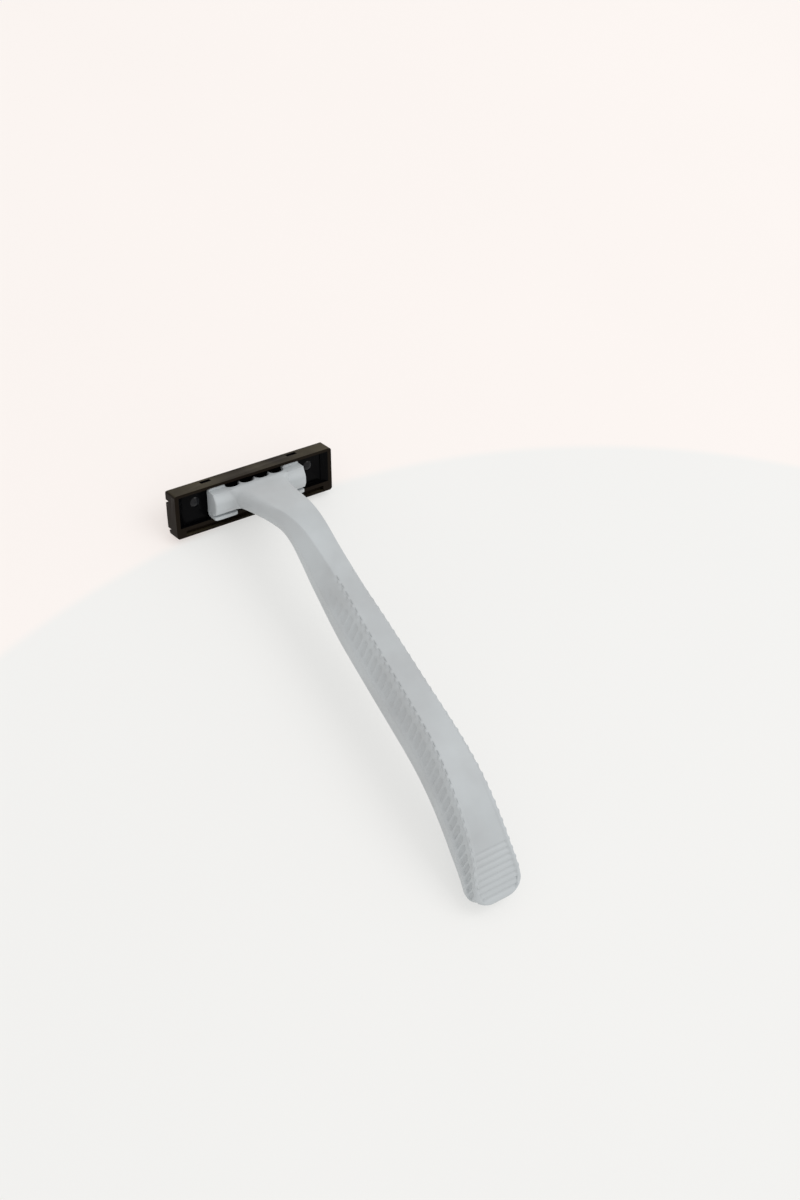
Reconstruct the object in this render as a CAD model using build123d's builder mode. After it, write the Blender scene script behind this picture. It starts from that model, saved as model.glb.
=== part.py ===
"""Twin-blade razor: a moulded handle with a T-bar, and the cartridge head that is pressed onto it.

Millimetres. The model is drawn in the head's own frame: X along the head, "down" (local y of the
section plane) from the cap to the guard, "back" (local x of the section plane) from the shaving
face towards the handle. At the end the whole razor is laid down on its guard and its tail.
"""
import os
from copy import copy
from math import atan, atan2, cos, degrees, radians, sin

from build123d import *

os.makedirs("parts", exist_ok=True)

# ---- cartridge tray ------------------------------------------------------------------------------
HEAD_LENGTH = 41.5
HEAD_HEIGHT = 11.2
TOP_WALL = 0.7
END_WALL = 1.0
LOWER_WALL = 2.9            # height of the wall below the open back
FLOOR_DEPTH = 2.75          # shaving face to the floor of the open back
HEAD_DEPTH = FLOOR_DEPTH + 1.35
MOUTH_LEAD = 1.4            # sloped lead-in of the open back at each end
LEAD_START = FLOOR_DEPTH + 0.25
CORNER_RADIUS = 0.6
BOTTOM_CORNER = 0.9         # chamfer of the head's lower corners
TOP_NOTCH = (2.6, 1.0)      # window in the front edge of the top wall, length and depth
TOP_NOTCH_X = 11.4
LOWER_GROOVE = (1.2, 1.0)   # groove along the back of the lower wall, height and depth
RINSE_SLOT = (5.4, 2.0)
RINSE_SLOT_X = (-4.2, 4.2)
GUARD_PROFILE = ((0.5, 2.5), (0.5, 1.8), (1.05, 0.25), (2.3, 0.0), (3.3, 0.0))  # back, height
GUARD_LIP = (0.95, 0.3)     # back of the guard's hollow, and its start below the blade's seat
HEEL_CHAMFER = 0.45
END_FOOT = (0.58, 0.5)      # step under the end bar: back, below the bar's end

# ---- blade stack ---------------------------------------------------------------------------------
GUARD_EDGE = (0.33, HEAD_HEIGHT - 3.6)  # cutting edge of the guard blade: back, down
BLADE_THICKNESS = 0.1
BLADE_BEVEL = 0.35
STACK_TOP_DOWN = 2.18       # upper end of blades and spacer below the head's top
FLOOR_WEB = 0.66            # tray's floor left behind the upper end of the guard blade
CAP_BLADE_SETBACK = 1.6     # how far the cap blade's edge lies behind the guard blade's
SPACER_THICKNESS = 0.6
SPACER_SETBACK = 2.2
STACK_PLAY = 0.15           # stack to end bar, each end
STACK_TOP_GAP = 0.1         # the stack ends this far short of its stop in the tray
SEAT_SETBACK = 0.8          # the seat starts this far behind the guard blade's edge
SPACER_NOTCH = (3.2, 0.9)
SPACER_NOTCH_PITCH = 5.2
SPACER_NOTCHES = 6
PIN_INSET = 5.75            # outer pins, from the head's ends
PIN_BELOW_TOP = 1.1         # pins, from the upper end of the stack
PIN_RADIUS = 0.6
PIN_CLEARANCE = 0.05
PIN_HEAD_RADIUS = 1.2
PIN_HEAD_HEIGHT = 0.38

# ---- cap -----------------------------------------------------------------------------------------
END_BLOCK = 2.05            # width of the cap's end bars
END_BAR_RISE = 2.1          # the end bars stop this far above the head's bottom
END_BAR_TOE = (0.13, 2.9)   # lean of the end bar's foot, and the height it leans over
CAP_LIP_DEPTH = 1.0         # the cap's part in front of the top wall
CAP_EDGE = 0.28             # chamfer of the cap's top front edge
CAP_NOSE = 0.9              # the cap starts this far behind the cap blade's edge
CAP_NOSE_ROUND = (0.15, 0.5)
CAP_NOTCH = (2.2, 2.9, 1.1)  # gap between cap and end bar on the head's ends: from, to, depth
SEAM_BACK = (2.62, 1.9, 1.75)  # seam of tray and end bar: at the top wall, at the bend, at its end
SEAM_BEND = 2.05            # the seam bends this far above the end bar's end
STRIP = (HEAD_LENGTH - 10.5, 1.7, 0.55)  # lubricating strip: length, height, thickness
STRIP_DOWN = 0.95
STRIP_CLEARANCE = 0.04
STRIP_PROUD = 0.05
STRIP_CORNER = 0.3

# ---- handle --------------------------------------------------------------------------------------
TBAR_TO_PIN = 3.0           # T-bar's end to the outer pin's axis
TBAR_TOP = 1.5
TBAR_EDGE = 0.4             # rounding of the T-bar's back edges
TBAR_FRONT = FLOOR_DEPTH + 0.65
TBAR_BACK = TBAR_FRONT + 2.9
TBAR_HOLLOW = (2.4, 0.7)    # recess along the T-bar's front: height and depth
FLANGE_FROM = 6.0           # lower flange, each side of the neck: from here to the T-bar's end
FLANGE_DROP = 1.5
FLANGE_GAP = 0.3            # flange to the tray's lower wall
FLANGE_GROOVE = (0.55, 0.7)
PAD_LENGTH = 4.5            # locating pads at the T-bar's ends, which seat on the tray's floor
PAD_BACK = TBAR_FRONT + 0.5
FIT_CLEARANCE = 0.06
POCKET_COUNT = 4
POCKET_PITCH = 3.9
POCKET_RIB = 0.6
POCKET_BACK = TBAR_BACK - 0.8
POCKET_DEPTH = 2.7
POCKET_ROUNDING = 1.1

NECK_START = TBAR_FRONT + 1.2  # the top line starts inside the T-bar
NECK_DOWN = 1.55
NECK_RUN = 15.4
BEND_RADIUS = 20.0
BEND_TURN = 32.0
GRIP_RUN = 47.5
TAIL_RADIUS = 52.0
TAIL_TURN = 45.0
TAIL_ROUNDING = 4.0
TAIL_SIDE = 0.1             # the tail's rounding starts this far outside its side
# stretch of the top line (0 neck, 1 bend, 2 grip, 3 tail) and share of it covered,
# half width of the top face, widest half width, height
GIRTHS = (
    (0.0, 6.6, 6.8, 4.8),
    (0.35, 5.2, 5.6, 4.7),
    (0.74, 4.5, 5.0, 4.8),
    (1.23, 3.6, 4.7, 5.3),
    (2.0, 2.7, 4.7, 6.8),
    (2.18, 2.4, 5.0, 8.2),
    (2.49, 2.9, 5.5, 9.5),
    (3.0, 3.4, 5.8, 9.6),
    (3.39, 4.3, 6.0, 9.0),
    (3.71, 5.1, 6.3, 7.6),
    (4.0, 5.8, 6.5, 5.8),
)
PARTING = 0.5               # depth of the widest line, as a share of the section's height
BELLY = 0.88                # half width of the underside, as a share of the widest
TOP_EDGE_RADIUS = 0.25
PARTING_RADIUS = 0.5
BELLY_RADIUS = 1.6
RIB_PITCH = 2.1
RIB_LEAD = 6.4              # first rib groove behind the bend
RIB_END = 2.0               # last rib groove before the tail's end, at the nearest
RIB_TOP = 0.3               # the groove cutters stand this far above the top face
RIB_GROOVE = 1.15
RIB_DEPTH = 0.55
RIB_REACH = 0.44            # how far down the side the ribs go, as a share of the height
TAIL_RIB_COUNT = 8
TAIL_RIB_PITCH = 1.45
TAIL_RIB_GROOVE = 0.7
TAIL_RIB_DEPTH = 0.35
TAIL_RIB_END = 1.6          # plain rim between the last groove and the tail's end
TAIL_RIB_SIDE = 1.0         # plain border beside the tail's grooves
OVERSHOOT = 1.0             # cutters run this far past what they cut

# ---- sizes that follow ---------------------------------------------------------------------------
TILT = atan(
    (FLOOR_DEPTH - FLOOR_WEB - GUARD_EDGE[0]) / (GUARD_EDGE[1] - STACK_TOP_DOWN)
)
WINDOW = HEAD_LENGTH - 2 * END_BLOCK
LEDGE_DOWN = HEAD_HEIGHT - LOWER_WALL
END_BAR_BOTTOM = HEAD_HEIGHT - END_BAR_RISE
STACK_LENGTH = WINDOW - 2 * STACK_PLAY
STACK_TOP = (GUARD_EDGE[1] - STACK_TOP_DOWN) / cos(TILT)
PIN_UP = STACK_TOP - PIN_BELOW_TOP
PIN_X = (PIN_INSET - HEAD_LENGTH / 2, 0.0, HEAD_LENGTH / 2 - PIN_INSET)
TBAR_LENGTH = 2 * (PIN_X[-1] - TBAR_TO_PIN)
TBAR_HEIGHT = LEDGE_DOWN - FLANGE_GAP - FLANGE_DROP - TBAR_TOP
GUARD_OUTLINE = (
    *[(back, HEAD_HEIGHT - height) for back, height in GUARD_PROFILE],
    (HEAD_DEPTH, HEAD_HEIGHT - HEEL_CHAMFER),
)
SEAM = (
    (SEAM_BACK[0], TOP_WALL),
    (SEAM_BACK[1], END_BAR_BOTTOM - SEAM_BEND),
    (SEAM_BACK[2], END_BAR_BOTTOM),
)


def section(x):
    """Plane across the head at x: local x runs back, local y runs down."""
    return Plane(origin=(x, 0, 0), x_dir=(0, -1, 0), z_dir=(1, 0, 0))


def level(down):
    """Plane square to the head's height: local x along the head, local y towards the front."""
    return Plane(origin=(0, 0, -down), x_dir=(1, 0, 0), z_dir=(0, 0, 1))


def back_face(back):
    """Plane along the head, facing forward: local x along the head, local y down."""
    return Plane(origin=(0, -back, 0), x_dir=(1, 0, 0), z_dir=(0, 1, 0))


def in_stack(up, back=0.0):
    """Point in the section, up the blade stack from the guard blade's edge and back across it."""
    return (
        GUARD_EDGE[0] + up * sin(TILT) + back * cos(TILT),
        GUARD_EDGE[1] - up * cos(TILT) + back * sin(TILT),
    )


def stack_plane(back):
    """Plane along the blades: local x along the head, local y up the stack, z to the back."""
    q, p = in_stack(0, back)
    return Plane(origin=(0, -q, -p), x_dir=(1, 0, 0), z_dir=(0, -cos(TILT), -sin(TILT)))


def up_to(down, back):
    """How far up the stack a line `back` across it reaches the given height of the head."""
    return (GUARD_EDGE[1] + back * sin(TILT) - down) / cos(TILT)


SEAT = BLADE_THICKNESS / 2
CAP_BLADE_BACK = -(SPACER_THICKNESS + BLADE_THICKNESS)
CAP_FACE = CAP_BLADE_BACK - BLADE_THICKNESS / 2
CAP_ROOT = in_stack(up_to(TOP_WALL, CAP_FACE), CAP_FACE)
CAP_NOSE_POINT = in_stack(CAP_BLADE_SETBACK + CAP_NOSE, CAP_FACE)
SEAT_START = in_stack(SEAT_SETBACK, SEAT)

# ---- cartridge tray ------------------------------------------------------------------------------
TRAY_MIDDLE = (
    (HEAD_DEPTH, 0),
    (CAP_LIP_DEPTH, 0),
    (CAP_LIP_DEPTH, TOP_WALL),
    CAP_ROOT,
    in_stack(STACK_TOP + STACK_TOP_GAP, CAP_FACE),
    in_stack(STACK_TOP + STACK_TOP_GAP, SEAT),
    SEAT_START,
    (GUARD_LIP[0], SEAT_START[1] + GUARD_LIP[1]),
    (GUARD_LIP[0], LEDGE_DOWN),
    *GUARD_OUTLINE,
)
TRAY_END = (
    (HEAD_DEPTH, 0),
    (CAP_LIP_DEPTH, 0),
    (CAP_LIP_DEPTH, TOP_WALL),
    *SEAM,
    (END_FOOT[0], END_BAR_BOTTOM + END_FOOT[1]),
    *GUARD_OUTLINE[2:],
)

with BuildPart() as tray:
    with BuildSketch(section(-WINDOW / 2)):
        with BuildLine():
            Polyline(*TRAY_MIDDLE, close=True)
        make_face()
    extrude(amount=WINDOW)
    for x in (-HEAD_LENGTH / 2, WINDOW / 2):
        with BuildSketch(section(x)):
            with BuildLine():
                Polyline(*TRAY_END, close=True)
            make_face()
        extrude(amount=END_BLOCK)
    # open back, with its sloped ends
    half = HEAD_LENGTH / 2 - END_WALL
    with BuildSketch(level(LEDGE_DOWN)):
        with BuildLine():
            Polyline(
                (-half, -HEAD_DEPTH - OVERSHOOT),
                (-half, -HEAD_DEPTH),
                (-half + MOUTH_LEAD, -LEAD_START),
                (-half + MOUTH_LEAD, -FLOOR_DEPTH),
                (half - MOUTH_LEAD, -FLOOR_DEPTH),
                (half - MOUTH_LEAD, -LEAD_START),
                (half, -HEAD_DEPTH),
                (half, -HEAD_DEPTH - OVERSHOOT),
                close=True,
            )
        make_face()
    extrude(amount=LEDGE_DOWN - TOP_WALL, mode=Mode.SUBTRACT)
    # groove along the back of the lower wall
    groove_down = (LEDGE_DOWN + HEAD_HEIGHT) / 2
    with BuildSketch(section(-half + MOUTH_LEAD)):
        with Locations((HEAD_DEPTH, groove_down)):
            Rectangle(2 * LOWER_GROOVE[1], LOWER_GROOVE[0])
    extrude(amount=2 * (half - MOUTH_LEAD), mode=Mode.SUBTRACT)
    # windows in the front edge of the top wall
    with BuildSketch(level(TOP_WALL)):
        with Locations(*[(side * TOP_NOTCH_X, -CAP_LIP_DEPTH) for side in (-1, 1)]):
            Rectangle(TOP_NOTCH[0], 2 * TOP_NOTCH[1])
    extrude(amount=TOP_WALL, mode=Mode.SUBTRACT)
    # pin holes and rinse slots through the floor
    with BuildSketch(stack_plane(SEAT)):
        with Locations(*[(x, PIN_UP) for x in PIN_X]):
            Circle(PIN_RADIUS + PIN_CLEARANCE)
    extrude(amount=HEAD_DEPTH, mode=Mode.SUBTRACT)
    with BuildSketch(back_face(HEAD_DEPTH)):
        with Locations(*[(x, HEAD_HEIGHT / 2) for x in RINSE_SLOT_X]):
            Rectangle(*RINSE_SLOT)
    extrude(amount=HEAD_DEPTH + OVERSHOOT, mode=Mode.SUBTRACT)
    # the head's outer corners, seen from the back
    long_edges = tray.edges().filter_by(Axis.Y).group_by(Axis.X)
    upper = [long_edges[i].sort_by(Axis.Z)[-1] for i in (0, -1)]
    fillet(upper, radius=CORNER_RADIUS)
    with BuildSketch(back_face(HEAD_DEPTH + OVERSHOOT)):
        for side in (-1, 1):
            with BuildLine():
                Polyline(
                    (side * (HEAD_LENGTH / 2 - BOTTOM_CORNER), HEAD_HEIGHT),
                    (side * HEAD_LENGTH / 2, HEAD_HEIGHT - BOTTOM_CORNER),
                    (side * HEAD_LENGTH / 2, HEAD_HEIGHT),
                    close=True,
                )
            make_face()
    extrude(amount=HEAD_DEPTH + 2 * OVERSHOOT, mode=Mode.SUBTRACT)
tray.part.label = "cartridge_tray"

# ---- blades and spacer ---------------------------------------------------------------------------
def blade_solid(setback, back):
    """Blade with its edge `setback` up the stack, its middle plane `back` across it."""
    half_thick = BLADE_THICKNESS / 2
    outline = (
        in_stack(setback, back),
        in_stack(setback + BLADE_BEVEL, back + half_thick),
        in_stack(STACK_TOP, back + half_thick),
        in_stack(STACK_TOP, back - half_thick),
        in_stack(setback + BLADE_BEVEL, back - half_thick),
    )
    with BuildPart() as blade:
        with BuildSketch(section(-STACK_LENGTH / 2)):
            with BuildLine():
                Polyline(*outline, close=True)
            make_face()
        extrude(amount=STACK_LENGTH)
        with BuildSketch(stack_plane(back)):
            with Locations(*[(x, PIN_UP) for x in PIN_X]):
                Circle(PIN_RADIUS + PIN_CLEARANCE)
        extrude(amount=BLADE_THICKNESS, both=True, mode=Mode.SUBTRACT)
    return blade.part


guard_blade = blade_solid(0, 0)
guard_blade.label = "guard_blade"
cap_blade = blade_solid(CAP_BLADE_SETBACK, CAP_BLADE_BACK)
cap_blade.label = "cap_blade"

with BuildPart() as spacer:
    with BuildSketch(stack_plane(-SEAT)):
        with Locations((0, (SPACER_SETBACK + STACK_TOP) / 2)):
            Rectangle(STACK_LENGTH, STACK_TOP - SPACER_SETBACK)
        with Locations(*[(x, PIN_UP) for x in PIN_X]):
            Circle(PIN_RADIUS + PIN_CLEARANCE, mode=Mode.SUBTRACT)
        with Locations((0, SPACER_SETBACK)):
            with GridLocations(SPACER_NOTCH_PITCH, 1, SPACER_NOTCHES, 1):
                Rectangle(SPACER_NOTCH[0], 2 * SPACER_NOTCH[1], mode=Mode.SUBTRACT)
    extrude(amount=-SPACER_THICKNESS)
spacer.part.label = "blade_spacer"

# ---- cap with its end bars and pins --------------------------------------------------------------
CAP_MIDDLE = (
    (CAP_EDGE, 0),
    (CAP_LIP_DEPTH, 0),
    (CAP_LIP_DEPTH, TOP_WALL),
    CAP_ROOT,
    CAP_NOSE_POINT,
    (CAP_NOSE_ROUND[0], CAP_NOSE_POINT[1] - CAP_NOSE_ROUND[0]),
    (0, CAP_NOSE_POINT[1] - CAP_NOSE_ROUND[1]),
    (0, CAP_EDGE),
)
CAP_END = (
    (CAP_EDGE, 0),
    (CAP_LIP_DEPTH, 0),
    (CAP_LIP_DEPTH, TOP_WALL),
    *SEAM,
    (END_BAR_TOE[0], END_BAR_BOTTOM),
    (0, END_BAR_BOTTOM - END_BAR_TOE[1]),
    (0, CAP_NOTCH[1]),
    (CAP_NOTCH[2], CAP_NOTCH[1]),
    (CAP_NOTCH[2], CAP_NOTCH[0]),
    (0, CAP_NOTCH[0]),
    (0, CAP_EDGE),
)

with BuildPart() as cap:
    with BuildSketch(section(-WINDOW / 2)):
        with BuildLine():
            Polyline(*CAP_MIDDLE, close=True)
        make_face()
    extrude(amount=WINDOW)
    for x in (-HEAD_LENGTH / 2, WINDOW / 2):
        with BuildSketch(section(x)):
            with BuildLine():
                Polyline(*CAP_END, close=True)
            make_face()
        extrude(amount=END_BLOCK)
    front_corners = [
        cap.edges().filter_by(Axis.Y).group_by(Axis.X)[i].sort_by(Axis.Z)[-1] for i in (0, -1)
    ]
    fillet(front_corners, radius=CORNER_RADIUS)
    # recess for the lubricating strip
    with BuildSketch(Plane(origin=(0, 0, -STRIP_DOWN), x_dir=(1, 0, 0), z_dir=(0, -1, 0))):
        with Locations((0, -STRIP[1] / 2)):
            Rectangle(STRIP[0] + 2 * STRIP_CLEARANCE, STRIP[1] + 2 * STRIP_CLEARANCE)
    extrude(amount=STRIP[2], mode=Mode.SUBTRACT)
    # pins through the stack, with their domed heads behind the floor
    pin_foot = in_stack(PIN_UP, CAP_FACE)
    pin_length = (FLOOR_DEPTH - pin_foot[0]) / cos(TILT)
    with BuildSketch(stack_plane(CAP_FACE)):
        with Locations(*[(x, PIN_UP) for x in PIN_X]):
            Circle(PIN_RADIUS)
    extrude(amount=pin_length + PIN_HEAD_HEIGHT / 2)
    pin_down = pin_foot[1] + (FLOOR_DEPTH - pin_foot[0]) * sin(TILT) / cos(TILT)
    dome_radius = (PIN_HEAD_RADIUS**2 + PIN_HEAD_HEIGHT**2) / (2 * PIN_HEAD_HEIGHT)
    for x in PIN_X:
        axis_plane = Plane(origin=(x, -FLOOR_DEPTH, -pin_down), x_dir=(0, 0, 1), z_dir=(1, 0, 0))
        with BuildSketch(axis_plane):
            with BuildLine():
                Line((0, 0), (PIN_HEAD_RADIUS, 0))
                RadiusArc((PIN_HEAD_RADIUS, 0), (0, PIN_HEAD_HEIGHT), -dome_radius)
                Line((0, PIN_HEAD_HEIGHT), (0, 0))
            make_face()
        revolve(axis=Axis((x, 0, -pin_down), (0, 1, 0)))
cap.part.label = "cartridge_cap"

with BuildPart() as strip:
    with BuildSketch(Plane(origin=(0, STRIP_PROUD, -STRIP_DOWN), x_dir=(1, 0, 0), z_dir=(0, -1, 0))):
        with Locations((0, -STRIP[1] / 2)):
            RectangleRounded(STRIP[0], STRIP[1], STRIP_CORNER)
    extrude(amount=STRIP[2] + STRIP_PROUD)
    fillet(strip.faces().sort_by(Axis.Y)[-1].edges(), radius=STRIP_PROUD * 0.9)
strip.part.label = "lubricating_strip"

# ---- handle --------------------------------------------------------------------------------------
BEND_START = NECK_RUN
BEND_END = BEND_START + radians(BEND_TURN) * BEND_RADIUS
TAIL_START = BEND_END + GRIP_RUN
HANDLE_END = TAIL_START + radians(TAIL_TURN) * TAIL_RADIUS
BENDS = ((BEND_START, BEND_END, BEND_RADIUS), (TAIL_START, HANDLE_END, TAIL_RADIUS))
STRETCHES = ((0, BEND_START), (BEND_START, BEND_END), (BEND_END, TAIL_START), (TAIL_START, HANDLE_END))


def top_line(s):
    """Point (back, down) and turn, in radians, of the handle's top line s from its start."""
    q, p, turn = NECK_START + min(s, BEND_START), NECK_DOWN, 0.0
    for start, end, radius in BENDS:
        arc = (min(max(s, start), end) - start) / radius
        q += radius * (sin(turn + arc) - sin(turn))
        p += radius * (cos(turn) - cos(turn + arc))
        turn += arc
        if start == BEND_START:
            run = min(max(s - BEND_END, 0), GRIP_RUN)
            q += run * cos(turn)
            p += run * sin(turn)
    return q, p, turn


def across(s):
    """Plane square to the top line at s: local x along the head, local y up out of the top face."""
    q, p, turn = top_line(s)
    return Plane(origin=(0, -q, -p), x_dir=(1, 0, 0), z_dir=(0, -cos(turn), -sin(turn)))


def along(s):
    """Plane of the top face at s: local x along the head, local y towards the head."""
    q, p, turn = top_line(s)
    return Plane(origin=(0, -q, -p), x_dir=(1, 0, 0), z_dir=(0, -sin(turn), cos(turn)))


def station(place):
    """Distance along the top line of a place given as its stretch and the share of it covered."""
    start, end = STRETCHES[min(int(place), len(STRETCHES) - 1)]
    return start + (place - STRETCHES.index((start, end))) * (end - start)


SECTIONS = [(station(place), top, wide, height) for place, top, wide, height in GIRTHS]
RIB_START = BEND_END + RIB_LEAD
RIB_COUNT = int((HANDLE_END - RIB_END - RIB_START) / RIB_PITCH) + 1


def girth(s):
    """Half width of the top face, widest half width and height at s."""
    for low, high in zip(SECTIONS, SECTIONS[1:]):
        if s <= high[0]:
            break
    share = (s - low[0]) / (high[0] - low[0])
    return tuple(a + share * (b - a) for a, b in zip(low[1:], high[1:]))


def rib_cutter(s, side):
    """Outline of one groove in the grip's side, in the plane across the grip at s."""
    top, wide, height = girth(s)
    bottom = RIB_REACH * height
    edge = top + (wide - top) * RIB_REACH / PARTING
    return (
        (side * (top - RIB_DEPTH), RIB_TOP),
        (side * (edge - RIB_DEPTH), -bottom),
        (side * (edge + OVERSHOOT), -bottom),
        (side * (edge + OVERSHOOT), RIB_TOP),
    )


with BuildPart() as grooves:
    for i in range(RIB_COUNT):
        s = RIB_START + i * RIB_PITCH
        for side in (-1, 1):
            with BuildSketch(across(s - RIB_GROOVE / 2)):
                with BuildLine():
                    Polyline(*rib_cutter(s, side), close=True)
                make_face()
            extrude(amount=RIB_GROOVE)
    for i in range(TAIL_RIB_COUNT):
        s = HANDLE_END - TAIL_RIB_END - TAIL_RIB_GROOVE - i * TAIL_RIB_PITCH
        with BuildSketch(across(s)):
            Rectangle(2 * (girth(s)[0] - TAIL_RIB_SIDE), 2 * TAIL_RIB_DEPTH)
        extrude(amount=TAIL_RIB_GROOVE)

with BuildPart() as handle:
    # T-bar with its recessed front
    tbar_middle = TBAR_TOP + TBAR_HEIGHT / 2
    with BuildSketch(section(-TBAR_LENGTH / 2)):
        with Locations(((TBAR_FRONT + TBAR_BACK) / 2, tbar_middle)):
            Rectangle(TBAR_BACK - TBAR_FRONT, TBAR_HEIGHT)
        with Locations((TBAR_FRONT, tbar_middle)):
            Rectangle(2 * TBAR_HOLLOW[1], TBAR_HOLLOW[0], mode=Mode.SUBTRACT)
    extrude(amount=TBAR_LENGTH)
    fillet(handle.edges().filter_by(Axis.X).group_by(Axis.Y)[0], radius=TBAR_EDGE)
    flange_length = TBAR_LENGTH / 2 - FLANGE_FROM
    flange_down = TBAR_TOP + TBAR_HEIGHT + FLANGE_DROP / 2
    groove_down = TBAR_TOP + TBAR_HEIGHT + FLANGE_GROOVE[0] / 2
    pad_top = TOP_WALL + FIT_CLEARANCE
    pad_bottom = LEDGE_DOWN - FIT_CLEARANCE
    for x in (-TBAR_LENGTH / 2, FLANGE_FROM):
        with BuildSketch(section(x)):
            with Locations(((TBAR_FRONT + TBAR_BACK) / 2, flange_down)):
                Rectangle(TBAR_BACK - TBAR_FRONT, FLANGE_DROP)
            with Locations((TBAR_BACK, groove_down)):
                Rectangle(2 * FLANGE_GROOVE[1], FLANGE_GROOVE[0], mode=Mode.SUBTRACT)
        extrude(amount=flange_length)
    for x in (-TBAR_LENGTH / 2, TBAR_LENGTH / 2 - PAD_LENGTH):
        with BuildSketch(section(x)):
            with Locations(((FLOOR_DEPTH + PAD_BACK) / 2, (pad_top + pad_bottom) / 2)):
                Rectangle(PAD_BACK - FLOOR_DEPTH, pad_bottom - pad_top)
        extrude(amount=PAD_LENGTH)
    # neck, grip and tail
    for s, top, wide, height in SECTIONS:
        with BuildSketch(across(s)) as outline:
            with BuildLine():
                Polyline(
                    (-top, 0), (top, 0), (wide, -PARTING * height), (BELLY * wide, -height),
                    (-BELLY * wide, -height), (-wide, -PARTING * height), close=True,
                )
            make_face()
            belly, parting, upper = outline.vertices().group_by(Axis.Y)
            fillet(belly, radius=BELLY_RADIUS)
            fillet(parting, radius=PARTING_RADIUS)
            fillet(upper, radius=TOP_EDGE_RADIUS)
    loft()
    # pockets in the T-bar's top
    with BuildSketch(level(TBAR_TOP + POCKET_DEPTH)):
        with Locations((0, -(POCKET_BACK + FLOOR_DEPTH) / 2)):
            with GridLocations(POCKET_PITCH, 1, POCKET_COUNT, 1):
                RectangleRounded(POCKET_PITCH - POCKET_RIB, POCKET_BACK - FLOOR_DEPTH, POCKET_ROUNDING)
    extrude(amount=POCKET_DEPTH + OVERSHOOT, mode=Mode.SUBTRACT)
    # rounded tail
    with BuildSketch(along(HANDLE_END - TAIL_ROUNDING)):
        with Locations((0, -TAIL_ROUNDING)):
            Rectangle(4 * SECTIONS[-1][2], 2 * TAIL_ROUNDING)
        Ellipse(SECTIONS[-1][2] + TAIL_SIDE, TAIL_ROUNDING, mode=Mode.SUBTRACT)
    extrude(amount=2 * SECTIONS[-1][3], both=True, mode=Mode.SUBTRACT)
    add(grooves.part, mode=Mode.SUBTRACT)
handle.part.label = "handle"

# ---- laid down on the guard and the tail ---------------------------------------------------------
tail_back, tail_down, tail_turn = top_line(HANDLE_END)
tail_height = SECTIONS[-1][3]
tail_low = (
    tail_back - tail_height * sin(tail_turn),
    tail_down + tail_height * cos(tail_turn),
)
rest_angle = min(
    degrees(atan2(tail_low[1] - down, tail_low[0] - back)) for back, down in GUARD_OUTLINE
)
pieces = [
    handle.part, tray.part, cap.part, guard_blade, cap_blade, spacer.part, strip.part,
]
laid = [piece.rotate(Axis.X, -rest_angle) for piece in pieces]
box = Compound(children=[copy(piece) for piece in laid]).bounding_box()
for piece, flat in zip(pieces, laid):
    placed = flat.translate((-box.center().X, -box.center().Y, -box.min.Z))
    placed.label = piece.label
    export_step(placed, f"parts/{piece.label}.step")
print(f"rest angle {rest_angle:.3f} deg, head origin at y {-box.center().Y:.4f} z {-box.min.Z:.4f}")
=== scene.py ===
"""Slim cartridge razor with a ribbed handle and a T-bar neck, lying on a pale floor.

Lengths are in millimetres unless a docstring says metres. Places on the razor are in the
head's own frame: x along the blades, "down" from the cap to the guard and "back" from the
shaving face towards the handle.
"""
import logging
import math
from dataclasses import dataclass, field
from enum import Enum
from typing import Sequence, Union

import bmesh
import bpy
import numpy as np
from mathutils import Matrix, Vector


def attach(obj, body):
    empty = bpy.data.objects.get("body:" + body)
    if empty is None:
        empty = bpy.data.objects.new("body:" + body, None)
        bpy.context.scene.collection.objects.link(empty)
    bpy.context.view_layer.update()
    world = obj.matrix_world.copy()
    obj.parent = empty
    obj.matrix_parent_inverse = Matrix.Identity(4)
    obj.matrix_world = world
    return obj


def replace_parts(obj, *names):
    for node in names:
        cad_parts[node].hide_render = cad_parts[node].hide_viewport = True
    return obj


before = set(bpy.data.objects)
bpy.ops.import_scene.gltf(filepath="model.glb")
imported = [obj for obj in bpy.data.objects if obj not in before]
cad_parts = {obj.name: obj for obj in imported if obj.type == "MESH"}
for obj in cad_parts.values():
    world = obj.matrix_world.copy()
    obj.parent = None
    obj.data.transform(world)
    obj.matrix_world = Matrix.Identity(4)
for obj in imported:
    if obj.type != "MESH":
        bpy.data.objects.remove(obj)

LOG = logging.getLogger("razor")
MM = 0.001
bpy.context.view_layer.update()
NOISE_ROUGHNESS = 0.55

# tolerances in metres
SAME_POINT = 1e-6
SAME_CAD_POINT = 2e-7
EMPTY_EDGE = 1e-7
LOOKUP_STEP = 2e-6
LOOKUP_SPAN = 2**20  # more steps than any piece is long

Number = Union[float, "Socket"]
Colour = tuple[float, float, float]
Place = tuple[float, float, float]
Span = tuple[float, float]


class Body(Enum):
    """The two bodies that part when the cartridge is pulled off."""

    CARTRIDGE = "cartridge"
    HANDLE = "razor_handle"


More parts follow.
